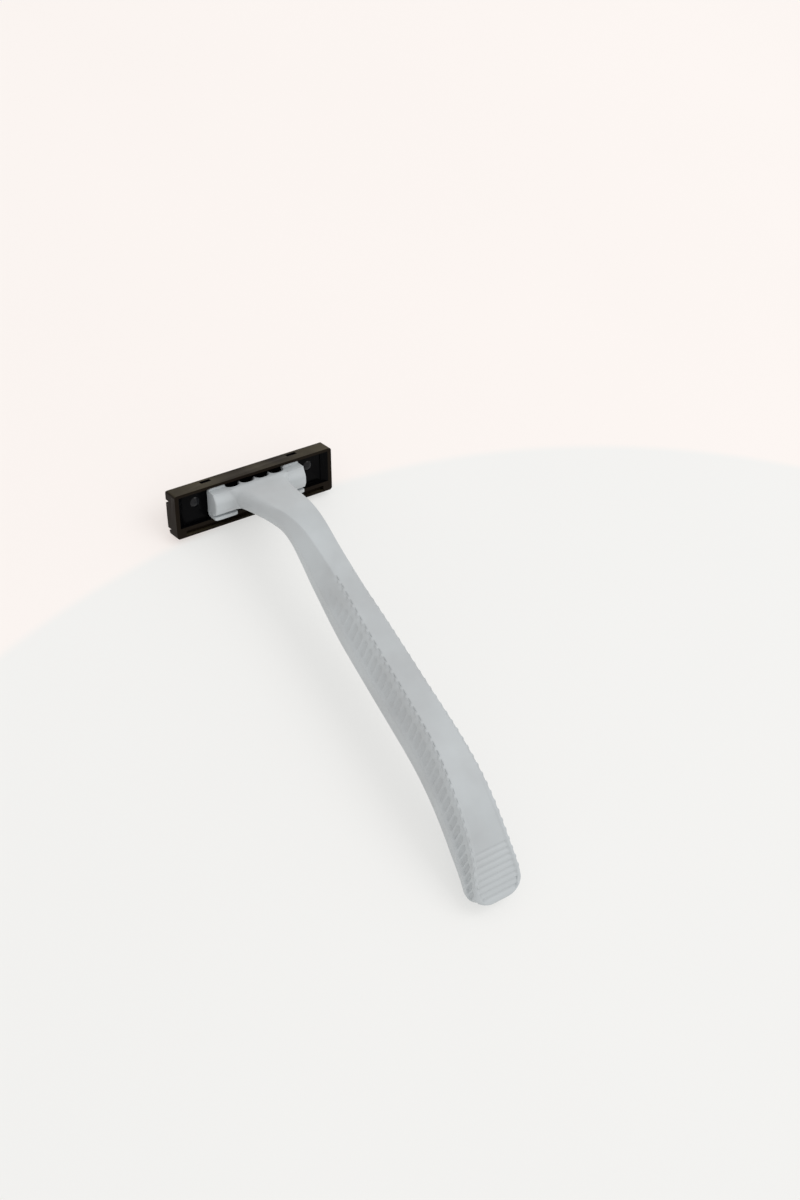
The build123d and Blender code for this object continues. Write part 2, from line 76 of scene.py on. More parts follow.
# ---- shader building -----------------------------------------------------------------------------
class Socket:
    """An output socket whose arithmetic adds the Math nodes that carry it out."""

    def __init__(self, shader: "Shader", output: bpy.types.NodeSocket) -> None:
        """Wrap one output.

        Args:
            shader: the material builder that owns the node.
            output: the node's output socket.
        """
        self.shader = shader
        self.output = output

    def _math(self, operation: str, *values: Number) -> "Socket":
        """Return the result of one Math node over the values."""
        inputs = dict(enumerate(values))
        return self.shader.node("ShaderNodeMath", {"operation": operation}, inputs)

    def __add__(self, other: Number) -> "Socket":
        """Return the sum."""
        return self._math("ADD", self, other)

    __radd__ = __add__

    def __sub__(self, other: Number) -> "Socket":
        """Return the difference."""
        return self._math("SUBTRACT", self, other)

    def __rsub__(self, other: Number) -> "Socket":
        """Return the reflected difference."""
        return self._math("SUBTRACT", other, self)

    def __mul__(self, other: Number) -> "Socket":
        """Return the product."""
        return self._math("MULTIPLY", self, other)

    __rmul__ = __mul__

    def above(self, low: float, high: float) -> "Socket":
        """Return a smooth step of the value.

        Args:
            low: where it leaves 0.
            high: where it reaches 1.

        Returns:
            The step, 3t^2 - 2t^3 of the share t of the way from low to high.
        """
        return self.shader.node(
            "ShaderNodeMapRange",
            {"interpolation_type": "SMOOTHSTEP"},
            {"Value": self, "From Min": low, "From Max": high},
        )


class Shader:
    """Builds one node material around a Principled BSDF."""

    def __init__(self, name: str, **constants: Union[float, Colour]) -> None:
        """Start the material.

        Args:
            name: the material's name.
            constants: values that are the same all over, by the shader's socket name with
                underscores for spaces.
        """
        self.material = bpy.data.materials.new(name)
        self.material.use_nodes = True
        self.tree = self.material.node_tree
        self.tree.nodes.clear()
        end = self.tree.nodes.new("ShaderNodeOutputMaterial")
        self.principled = self.tree.nodes.new("ShaderNodeBsdfPrincipled")
        self.tree.links.new(self.principled.outputs[0], end.inputs["Surface"])
        for key, value in constants.items():
            socket = self.principled.inputs[key.replace("_", " ")]
            socket.default_value = (*value, 1.0) if isinstance(value, tuple) else value

    def node(
        self,
        kind: str,
        settings: dict[str, object] | None = None,
        inputs: dict[Union[int, str], object] | None = None,
        output: Union[int, str] = 0,
    ) -> Socket:
        """Add one node.

        Args:
            kind: the node's type name.
            settings: properties of the node, set before its sockets.
            inputs: values or links by socket number or name.
            output: which output to return.

        Returns:
            The chosen output.
        """
        made = self.tree.nodes.new(kind)
        for key, value in (settings or {}).items():
            setattr(made, key, value)
        for key, value in (inputs or {}).items():
            socket = made.inputs[key]
            if isinstance(value, Socket):
                self.tree.links.new(value.output, socket)
            else:
                socket.default_value = value
        return Socket(self, made.outputs[output])

    def place(self, scale: tuple[float, float, float] = (1.0, 1.0, 1.0)) -> Socket:
        """Read Object coordinates in millimetres.

        Args:
            scale: stretch along each axis.

        Returns:
            The coordinates.
        """
        coordinates = self.node("ShaderNodeTexCoord", output="Object")
        size = tuple(value / MM for value in scale)
        return self.node("ShaderNodeMapping", {}, {"Vector": coordinates, "Scale": size})

    def noise(self, waves: float, layers: float, where: Socket) -> Socket:
        """Add fractal noise.

        Args:
            waves: waves per millimetre.
            layers: number of finer layers.
            where: the coordinates.

        Returns:
            The noise, about 0.5 on average.
        """
        inputs = {
            "Vector": where, "Scale": waves, "Detail": layers, "Roughness": NOISE_ROUGHNESS
        }
        return self.node("ShaderNodeTexNoise", {}, inputs)

    def attribute(self, name: str) -> Socket:
        """Return a number that the mesh stores at its points or faces."""
        return self.node("ShaderNodeAttribute", {"attribute_name": name}, output="Fac")

    def blend(self, share: Number, low: object, high: object) -> Socket:
        """Return the colour that lies between low and high by the share."""
        inputs = {"Factor": share, 6: low, 7: high}
        return self.node("ShaderNodeMix", {"data_type": "RGBA"}, inputs, output=2)

    def feed(self, socket: str, value: Socket) -> None:
        """Link a value that varies over the surface to the shader."""
        self.tree.links.new(value.output, self.principled.inputs[socket])

    def relief(self, height: Socket, depth: float) -> None:
        """Feed a bump to the shader's normal.

        Args:
            height: relative height over the surface.
            depth: millimetres that a height of 1 stands for.
        """
        bump = self.node(
            "ShaderNodeBump", {}, {"Height": height, "Distance": depth * MM, "Strength": 1.0}
        )
        self.feed("Normal", bump)


def four(colour: Colour) -> tuple[float, float, float, float]:
    """Return the colour with full cover."""
    return (*colour, 1.0)


@dataclass(frozen=True)
class MouldedPlastic:
    """Satin injection-moulded plastic with a faint cloudiness, flow marks and rubbed edges."""

    name: str
    colour: Colour
    # darker tone that the slow drift reaches, and the colour that painted shade pulls towards
    shade: Colour
    bloom: Colour
    roughness: float = 0.42
    grain_depth: float = 0.004
    handling: float = 0.35
    specular: float = 0.45
    # how far painted shade in hollows and on faces turned from above pulls towards shade
    painted_shade_share: float = 0.5
    index: float = 1.49
    cloud_waves: float = 0.06
    cloud_range: Span = (0.3, 0.7)
    speck_waves: float = 5.5
    speck_range: Span = (0.6, 0.78)
    speck_share: float = 0.12
    rub_waves: float = 0.35
    rub_range: Span = (0.42, 0.72)
    rub_share: float = 0.25
    rub_dulling: float = 0.08
    cloud_dulling: float = 0.06
    grain_waves: float = 9.0
    grain_share: float = 0.6
    flow_waves: float = 0.9
    flow_stretch: Place = (1.0, 0.12, 1.0)

    def make(self) -> bpy.types.Material:
        """Build the material.

        The colour drifts between shade and colour with a slow noise. Fine specks and rubbed
        patches pull it towards bloom. The painted shade that the mesh stores, 0 in the open to 1
        in hollows and on faces that look away from above, pulls it towards shade by up to the
        painted shade share. Roughness follows the slow noise and the rubbed patches, and the
        bump is moulding grain plus stretched flow marks.

        Returns:
            The material.
        """
        shader = Shader(self.name, Specular_IOR_Level=self.specular, IOR=self.index, Metallic=0.0)
        where = shader.place()
        clouds = shader.noise(self.cloud_waves, 3.0, where)
        specks = shader.noise(self.speck_waves, 2.0, where).above(*self.speck_range)
        rubbed = shader.noise(self.rub_waves, 4.0, where).above(*self.rub_range)
        drift = clouds.above(*self.cloud_range)
        worn = specks * self.speck_share + rubbed * self.handling * self.rub_share
        base = shader.blend(drift, four(self.shade), four(self.colour))
        base = shader.blend(worn, base, four(self.bloom))
        # painted shade: the stored attribute darkens hollows and faces turned from above
        base = shader.blend(shader.attribute("painted_shade") * self.painted_shade_share, base, four(self.shade))
        shader.feed("Base Color", base)
        dulling = rubbed * self.rub_dulling + clouds * self.cloud_dulling
        shader.feed("Roughness", dulling + (self.roughness - self.cloud_dulling))
        flow = shader.noise(self.flow_waves, 2.0, shader.place(self.flow_stretch))
        grain = shader.noise(self.grain_waves, 3.0, where)
        relief = grain * self.grain_share + flow * (1.0 - self.grain_share)
        shader.relief(relief, self.grain_depth)
        return shader.material


@dataclass(frozen=True)
class HonedSteel:
    """Ground stainless blade: fine lines square to its length, and dried drops."""

    name: str
    colour: Colour = (0.62, 0.63, 0.65)
    stain: Colour = (0.42, 0.41, 0.4)
    roughness: float = 0.24
    line_waves: float = 6.0
    line_stretch: Place = (1.0, 0.04, 0.04)
    line_dulling: float = 0.2
    line_depth: float = 0.002
    drop_waves: float = 0.7
    drop_range: Span = (0.55, 0.7)
    drop_share: float = 0.35
    drop_dulling: float = 0.12

    def make(self) -> bpy.types.Material:
        """Build the material: lines set its roughness and bump, drops tint and dull it.

        Returns:
            The material.
        """
        shader = Shader(self.name, Metallic=1.0)
        lines = shader.noise(self.line_waves, 4.0, shader.place(self.line_stretch))
        drops = shader.noise(self.drop_waves, 3.0, shader.place()).above(*self.drop_range)
        tint = shader.blend(drops * self.drop_share, four(self.colour), four(self.stain))
        shader.feed("Base Color", tint)
        dulling = lines * self.line_dulling + drops * self.drop_dulling
        shader.feed("Roughness", dulling + (self.roughness - self.line_dulling / 2))
        shader.relief(lines, self.line_depth)
        return shader.material


@dataclass(frozen=True)
class StampedAluminium:
    """Mill-finish aluminium spacer with rolling lines along its length."""

    name: str
    colour: Colour = (0.66, 0.67, 0.68)
    least_roughness: float = 0.26
    line_waves: float = 4.0
    line_stretch: Place = (0.05, 1.0, 1.0)
    line_dulling: float = 0.16
    line_depth: float = 0.003
    cloud_waves: float = 0.3
    cloud_dulling: float = 0.1

    def make(self) -> bpy.types.Material:
        """Build the material: rolling lines run along the strip, with duller cloudy patches.

        Returns:
            The material.
        """
        shader = Shader(self.name, Metallic=1.0, Base_Color=self.colour)
        lines = shader.noise(self.line_waves, 5.0, shader.place(self.line_stretch))
        clouds = shader.noise(self.cloud_waves, 2.0, shader.place())
        dulling = lines * self.line_dulling + clouds * self.cloud_dulling
        shader.feed("Roughness", dulling + self.least_roughness)
        shader.relief(lines, self.line_depth)
        return shader.material


@dataclass(frozen=True)
class WaxyStrip:
    """Water-soluble lubricating strip: waxy, faintly mottled, with pits where it has dried."""

    name: str
    colour: Colour = (0.5, 0.62, 0.6)
    pale: Colour = (0.72, 0.78, 0.75)
    least_roughness: float = 0.4
    glow_weight: float = 0.15
    glow_depth: float = 0.8
    mottle_waves: float = 1.6
    mottle_dulling: float = 0.2
    pit_waves: float = 7.0
    pit_range: Span = (0.58, 0.66)
    pit_share: float = 0.6
    line_waves: float = 5.0
    line_stretch: Place = (0.04, 1.0, 1.0)
    line_share: float = 0.5
    relief_depth: float = 0.02

    def make(self) -> bpy.types.Material:
        """Build the material: mottled wax with small dried pits and fine extrusion lines.

        Returns:
            The material.
        """
        shader = Shader(
            self.name, Subsurface_Weight=self.glow_weight, Subsurface_Scale=self.glow_depth * MM
        )
        where = shader.place()
        mottle = shader.noise(self.mottle_waves, 4.0, where)
        pits = shader.noise(self.pit_waves, 2.0, where).above(*self.pit_range)
        lines = shader.noise(self.line_waves, 2.0, shader.place(self.line_stretch))
        shader.feed("Base Color", shader.blend(mottle, four(self.colour), four(self.pale)))
        shader.feed("Roughness", mottle * self.mottle_dulling + self.least_roughness)
        shader.relief(lines * self.line_share - pits * self.pit_share, self.relief_depth)
        return shader.material


@dataclass(frozen=True)
class PaleFloor:
    """Back-lit white stage: neutral around the handle, a little warmer beyond a soft arc."""

    name: str = "pale_floor"
    colour: Colour = (0.34, 0.337, 0.333)
    shade: Colour = (0.32, 0.318, 0.314)
    near: Colour = (0.535, 0.535, 0.525)
    far: Colour = (0.61, 0.56, 0.535)
    roughness: float = 0.6
    specular: float = 0.2
    cloud_waves: float = 0.01
    arc_centre: Place = (13.5, -207.0, 0.0)
    arc_radius: float = 256.4
    arc_softness: float = 1.5

    def make(self) -> bpy.types.Material:
        """Build the material; the glow's tint follows the distance to the arc's centre.

        Returns:
            The material.
        """
        shader = Shader(
            self.name, Roughness=self.roughness, Specular_IOR_Level=self.specular,
            Emission_Strength=1.0,
        )
        where = shader.place()
        clouds = shader.noise(self.cloud_waves, 2.0, where)
        shader.feed("Base Color", shader.blend(clouds, four(self.shade), four(self.colour)))
        inputs = {0: where, 1: self.arc_centre}
        reach = shader.node("ShaderNodeVectorMath", {"operation": "DISTANCE"}, inputs, "Value")
        inner, outer = self.arc_radius - self.arc_softness, self.arc_radius + self.arc_softness
        glow = shader.blend(reach.above(inner, outer), four(self.near), four(self.far))
        shader.feed("Emission Color", glow)
        return shader.material


# ---- geometry helpers ----------------------------------------------------------------------------
@dataclass(frozen=True)
class HeadFrame:
    """The head's own frame, and how it lies on the floor."""

    rest_angle: float = 31.032
    origin_y: float = 56.3647
    origin_z: float = 8.8415

    def place(self, x: np.ndarray, down: np.ndarray, back: np.ndarray) -> np.ndarray:
        """Turn places in the head's frame into points.

        Down and back turn by the rest angle about the head's length: down points to
        (-sin, -cos) and back to (-cos, sin) in the y-z plane.

        Args:
            x: places along the head.
            down: distances below the head's top.
            back: distances behind its face.

        Returns:
            Points in the row frame, in metres.
        """
        turn = math.radians(self.rest_angle)
        y = self.origin_y - down * math.sin(turn) - back * math.cos(turn)
        z = self.origin_z - down * math.cos(turn) + back * math.sin(turn)
        return np.stack(np.broadcast_arrays(x, y, z), axis=-1) * MM

    @property
    def up(self) -> Place:
        """Return the direction out of the head's top face."""
        turn = math.radians(self.rest_angle)
        return 0.0, math.sin(turn), math.cos(turn)

    def local(self, points: np.ndarray) -> tuple[np.ndarray, np.ndarray, np.ndarray]:
        """Turn points into places in the head's frame, as place does the other way.

        Args:
            points: points in the row frame, in metres.

        Returns:
            Their x, down and back, in millimetres.
        """
        turn = math.radians(self.rest_angle)
        x, y, z = (points / MM).T
        y, z = y - self.origin_y, z - self.origin_z
        down = -y * math.sin(turn) - z * math.cos(turn)
        return x, down, -y * math.cos(turn) + z * math.sin(turn)


HEAD = HeadFrame()


def smooth_step(low: float, high: float, value: np.ndarray) -> np.ndarray:
    """Return 0 below low, 1 above high and the cubic 3t^2 - 2t^3 between."""
    share = np.clip((value - low) / (high - low), 0.0, 1.0)
    return share * share * (3.0 - 2.0 * share)


def soft_lines(knots: Sequence[float], values: np.ndarray, where: np.ndarray) -> np.ndarray:
    """Return values carried smoothly through knots.

    A cubic through each pair of knots with slopes that are the weighted harmonic mean of the
    neighbouring chords, and zero where they change sign, so it never overshoots.

    Args:
        knots: rising places.
        values: one row per knot.
        where: places to read.

    Returns:
        One row per place.
    """
    knots = np.asarray(knots, float)
    gap = np.diff(knots)[:, None]
    chord = np.diff(values, axis=0) / gap
    slope = np.zeros_like(values)
    w1, w2 = 2 * gap[1:] + gap[:-1], gap[1:] + 2 * gap[:-1]
    same = chord[:-1] * chord[1:] > 0
    safe_a = np.where(same, chord[:-1], 1.0)
    safe_b = np.where(same, chord[1:], 1.0)
    slope[1:-1] = np.where(same, (w1 + w2) / (w1 / safe_a + w2 / safe_b), 0.0)
    slope[0], slope[-1] = chord[0], chord[-1]
    index = np.clip(np.searchsorted(knots, where, side="right") - 1, 0, len(knots) - 2)
    step = gap[index]
    t = ((where - knots[index])[:, None]) / step
    a, b = values[index], values[index + 1]
    m, n = slope[index] * step, slope[index + 1] * step
    return (
        (2 * t**3 - 3 * t**2 + 1) * a
        + (t**3 - 2 * t**2 + t) * m
        + (3 * t**2 - 2 * t**3) * b
        + (t**3 - t**2) * n
    )


def ring_faces(rows: int, columns: int, first: int = 0) -> np.ndarray:
    """Join the rows of a grid whose rows are closed rings.

    Args:
        rows: number of rings.
        columns: points on each ring.
        first: number of the grid's first point.

    Returns:
        The quads between neighbouring rows, as point numbers.
    """
    row, column = np.meshgrid(np.arange(rows - 1), np.arange(columns), indexing="ij")
    after = (column + 1) % columns
    here, there = first + row * columns, first + (row + 1) * columns
    quads = np.stack([here + column, here + after, there + after, there + column], axis=-1)
    return quads.reshape(-1, 4)


def joining_faces(fine: int, coarse: int, count: int, ratio: int) -> np.ndarray:
    """Join a fine ring to a coarse one.

    Each coarse edge meets ratio fine edges: the first half of them fan from its start, the
    rest from its end, with one triangle between the two fans.

    Args:
        fine: number of the fine ring's first point.
        coarse: number of the coarse ring's first point.
        count: points of the coarse ring.
        ratio: fine edges per coarse edge.

    Returns:
        The triangles, as point numbers.
    """
    edge = np.arange(count)[:, None]
    part = np.arange(ratio)[None, :]
    a = fine + (edge * ratio + part) % (count * ratio)
    b = fine + (edge * ratio + part + 1) % (count * ratio)
    start = coarse + edge + 0 * part
    end = coarse + (edge + 1) % count + 0 * part
    apex = np.where(part < ratio // 2, start, end)
    fans = np.stack([a, b, apex], axis=-1).reshape(-1, 3)
    middle = fine + (edge[:, 0] * ratio + ratio // 2) % (count * ratio)
    bridge = np.stack([middle, end[:, 0], start[:, 0]], axis=-1)
    return np.concatenate([fans, bridge])


def mesh_piece(
    name: str,
    points: np.ndarray,
    faces: Sequence[Sequence[int]],
    body: Body,
    finish: bpy.types.Material,
    crease_angle: float = 35.0,
) -> bpy.types.Object:
    """Make one closed piece.

    Args:
        name: the piece's name.
        points: its points, in metres in the row frame.
        faces: point numbers of each face.
        body: the body it rides on.
        finish: its material.
        crease_angle: edges sharper than this stay sharp, in degrees.

    Returns:
        The new object, with doubled points merged and its faces pointing outwards.
    """
    mesh = bpy.data.meshes.new(name)
    mesh.from_pydata(points.reshape(-1, 3).tolist(), [], [list(map(int, f)) for f in faces])
    work = bmesh.new()
    work.from_mesh(mesh)
    bmesh.ops.remove_doubles(work, verts=work.verts, dist=SAME_POINT)
    bmesh.ops.dissolve_degenerate(work, dist=EMPTY_EDGE, edges=work.edges)
    bmesh.ops.recalc_face_normals(work, faces=work.faces)
    work.to_mesh(mesh)
    work.free()
    mesh.shade_smooth()
    mesh.set_sharp_from_angle(angle=math.radians(crease_angle))
    made = bpy.data.objects.new(name, mesh)
    bpy.context.scene.collection.objects.link(made)
    made.data.materials.append(finish)
    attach(made, body.value)
    return made


def lookup_keys(places: np.ndarray) -> np.ndarray:
    """Return one whole number per place: its steps along x, y and z, packed together."""
    steps = np.round(places / LOOKUP_STEP).astype(np.int64)
    return (steps[:, 0] * LOOKUP_SPAN + steps[:, 1]) * LOOKUP_SPAN + steps[:, 2]


def store_at_points(
    piece: bpy.types.Object, name: str, points: np.ndarray, values: np.ndarray
) -> None:
    """Store one number per point of the piece's mesh.

    Merging moves no point, so each value is looked up by the rounded place of its point.

    Args:
        piece: the merged piece.
        name: the attribute's name.
        points: the places before merging.
        values: one number for each of them.
    """
    place = np.empty(len(piece.data.vertices) * 3)
    piece.data.vertices.foreach_get("co", place)
    keys, wanted = lookup_keys(points), lookup_keys(place.reshape(-1, 3))
    order = np.argsort(keys, kind="stable")
    near = order[np.searchsorted(keys[order], wanted, side="right") - 1]
    found = np.where(keys[near] == wanted, values[near], 0.0)
    layer = piece.data.attributes.new(name, "FLOAT", "POINT")
    layer.data.foreach_set("value", found.astype(np.float32))


# ---- handle --------------------------------------------------------------------------------------
@dataclass(frozen=True)
class TopLine:
    """The handle's top line: straight neck, bend, straight grip and downward tail."""

    start_back: float = 4.6
    start_down: float = 1.55
    neck_run: float = 15.4
    bend_radius: float = 20.0
    bend_turn: float = 32.0
    grip_run: float = 47.5
    tail_radius: float = 52.0
    tail_turn: float = 46.2

    @property
    def stations(self) -> tuple[float, float, float, float]:
        """Work out where the line's parts begin.

        Returns:
            How far along the bend, the grip, the tail and the line's end come.
        """
        bend_end = self.neck_run + math.radians(self.bend_turn) * self.bend_radius
        tail_start = bend_end + self.grip_run
        end = tail_start + math.radians(self.tail_turn) * self.tail_radius
        return self.neck_run, bend_end, tail_start, end

    def at(self, along: np.ndarray) -> tuple[np.ndarray, np.ndarray, np.ndarray]:
        """Read the line.

        Straight runs add (cos, sin) of the turn; an arc of radius r that turns by t adds
        r (sin(a + t) - sin a) back and r (cos a - cos(a + t)) down.

        Args:
            along: distances from the line's start.

        Returns:
            How far back and down the line is there, and its turn.
        """
        bend, bend_end, tail, end = self.stations
        first = np.clip(along - bend, 0, bend_end - bend) / self.bend_radius
        last = np.clip(along - tail, 0, end - tail) / self.tail_radius
        run = np.clip(along - bend_end, 0, self.grip_run)
        lean = math.radians(self.bend_turn)
        back = self.start_back + np.minimum(along, bend) + self.bend_radius * np.sin(first)
        down = self.start_down + self.bend_radius * (1 - np.cos(first))
        back = back + run * math.cos(lean)
        down = down + run * math.sin(lean)
        back = back + self.tail_radius * (np.sin(lean + last) - math.sin(lean))
        down = down + self.tail_radius * (math.cos(lean) - np.cos(lean + last))
        return back, down, first + last


@dataclass
class Girth:
    """Sizes of the handle's cross-section, one value per row of the skin."""

    top: np.ndarray
    wide: np.ndarray
    height: np.ndarray
    belly: np.ndarray
    top_cut: np.ndarray
    side_cut: np.ndarray
    belly_cut: np.ndarray


@dataclass(frozen=True)
class Pockets:
    """The rounded pockets in the T-bar's top, open to its front."""

    a_side: int = 2  # pockets on each side of the middle
    pitch: float = 3.9
    rib: float = 0.6
    back: float = 4.9
    depth: float = 2.6
    rounding: float = 1.3
    wall: float = 0.06

    def cut(self, x: np.ndarray, back: np.ndarray) -> np.ndarray:
        """Work out how deep the pockets are.

        A point's distance outside a pocket's rounded rectangle is the length of its
        overshoot past the corner centres less the corner's radius. The wall rises within
        its own thickness on either side of the outline.

        Args:
            x: place of each point along the head.
            back: how far back each row lies.

        Returns:
            Depth of each point under the T-bar's top.
        """
        half = (self.pitch - self.rib) / 2 - self.rounding
        number = np.clip(np.round(x / self.pitch - 0.5), -self.a_side, self.a_side - 1)
        aside = np.abs(x - (number + 0.5) * self.pitch)
        beside = np.maximum(aside - half, 0)
        behind = np.maximum(back[:, None] - (self.back - self.rounding), 0)
        outside = np.hypot(beside, behind) - self.rounding
        return self.depth * smooth_step(self.wall, -self.wall, outside)


@dataclass(frozen=True)
class RibBand:
    """Leaning grooves down each side of the grip, and the shallow band that they lie in.

    Spans on the side are shares of the way from the top edge down to the widest line, and
    spans on the top face are millimetres from its edge, which are negative.
    """

    pitch: float = 2.1
    start: float = 37.2
    count: int = 37
    groove: float = 1.6
    depth: float = 0.34
    hump: float = 1.5
    lean: float = 12.0
    fade_in: Span = (-1.0, 9.0)
    tail: Span = (80.0, 100.0)
    oval: Span = (0.32, 0.9)
    oval_taper: Span = (0.1, 0.12)
    oval_late: float = 0.25
    oval_top_edge: Span = (-0.08, 0.05)
    oval_low_edge: Span = (0.05, -0.07)
    oval_share: Span = (0.45, 0.55)
    oval_tail_share: float = 0.3
    dot_share: float = 1.2
    dot_tail_loss: float = 0.45
    dot_on_side: Span = (0.17, 0.06)
    dot_on_top: Span = (-0.65, -0.1)
    recess: float = 0.09
    recess_run: float = 6.0
    recess_top: Span = (0.0, 0.15)
    recess_low: Span = (0.99, 0.92)

    def cut(
        self, along: np.ndarray, turn: np.ndarray, depth: np.ndarray, share: np.ndarray
    ) -> np.ndarray:
        """Work out how deep the grooves cut.

        Across a groove the cut is a rounded hump of the distance to its middle, which moves
        towards the tail by depth times the tangent of the lean. Down the side each groove is
        a long oval. Above that a short oval, the dot, crosses the top edge and ends on the
        top face, and a thin ridge stays between the two. The ovals grow over the first
        grooves, and towards the tail they deepen while the dots ease.

        Args:
            along: how far along each section lies.
            turn: the top line's turn there.
            depth: depth of each point under the top line.
            share: side share of each point.

        Returns:
            The cut at each point.
        """
        lean = np.tan(math.radians(self.lean) + 0.5 * turn)[:, None]
        where = along[:, None] - lean * depth
        number = np.clip(np.round((where - self.start) / self.pitch), 0, self.count - 1)
        away = np.abs(where - self.start - number * self.pitch) / (self.groove / 2)
        reach = np.sqrt(np.clip(1 - away**2, 0, 1))
        begun = smooth_step(self.start + self.fade_in[0], self.start + self.fade_in[1], where)
        tail = smooth_step(*self.tail, where)

        late = self.oval_late * (1 - begun)
        top = self.oval[0] + self.oval_taper[0] * (1 - reach) + late
        low = self.oval[1] - self.oval_taper[1] * (1 - reach)
        oval = smooth_step(top + self.oval_top_edge[0], top + self.oval_top_edge[1], share)
        oval *= smooth_step(low + self.oval_low_edge[0], low + self.oval_low_edge[1], share)
        oval *= self.oval_share[0] + self.oval_share[1] * begun + self.oval_tail_share * tail

        dot = smooth_step(*self.dot_on_side, share) * (share >= 0)
        dot += smooth_step(*self.dot_on_top, share) * (share < 0)
        dot *= self.dot_share - self.dot_tail_loss * tail
        return self.depth * reach**self.hump * (oval + dot)

    def band(self, along: np.ndarray, share: np.ndarray) -> np.ndarray:
        """Work out how far the ribbed band lies inside the plain band under it.

        Args:
            along: how far along each section lies.
            share: side share of each point.

        Returns:
            The recess at each point.
        """
        begins = smooth_step(self.start - self.recess_run, self.start + self.recess_run, along)
        side = smooth_step(*self.recess_low, share) * smooth_step(*self.recess_top, share)
        return self.recess * begins[:, None] * side


@dataclass(frozen=True)
class TailPanel:
    """Cross grooves near the tail's end, and the shallow dish that a border line frames."""

    pitch: float = 1.45
    count: int = 8
    after: float = 1.95
    groove: float = 1.2
    groove_depth: float = 0.2
    groove_border: float = 0.95
    groove_ramp: float = 0.35
    dish_depth: float = 0.22
    dish_border: float = 0.75
    dish_ramp: float = 0.4
    dish_rise: Span = (8.0, 13.0)
    dish_fall: Span = (0.9, 2.2)

    @property
    def run(self) -> float:
        """Return how far before the tail's end the grooves begin."""
        return self.after + self.count * self.pitch

    def cut(
        self, along: np.ndarray, x: np.ndarray, half: np.ndarray, line: TopLine
    ) -> np.ndarray:
        """Work out how deep the dish and the grooves are; both stop at a plain border.

        A groove is a smooth step of the distance to its middle. The dish begins a little past
        the tail's start, is full well before its end and fades at the rim.

        Args:
            along: how far along each section lies.
            x: place of each point across the handle.
            half: half width of the top face.
            line: the handle's top line.

        Returns:
            The depth at each point.
        """
        _, _, tail, end = line.stations
        last = end - self.after
        number = np.clip(np.round((last - along) / self.pitch), 0, self.count - 1)
        away = np.abs(last - along - number * self.pitch) / (self.groove / 2)
        room = half[:, None] - np.abs(x)
        groove = smooth_step(1.0, 0.0, away)[:, None]
        groove = groove * smooth_step(0.0, self.groove_ramp, room - self.groove_border)
        fade = smooth_step(tail + self.dish_rise[0], end - self.dish_rise[1], along)
        fade *= smooth_step(end - self.dish_fall[0], end - self.dish_fall[1], along)
        dish = fade[:, None] * smooth_step(0.0, self.dish_ramp, room - self.dish_border)
        return self.groove_depth * groove + self.dish_depth * dish


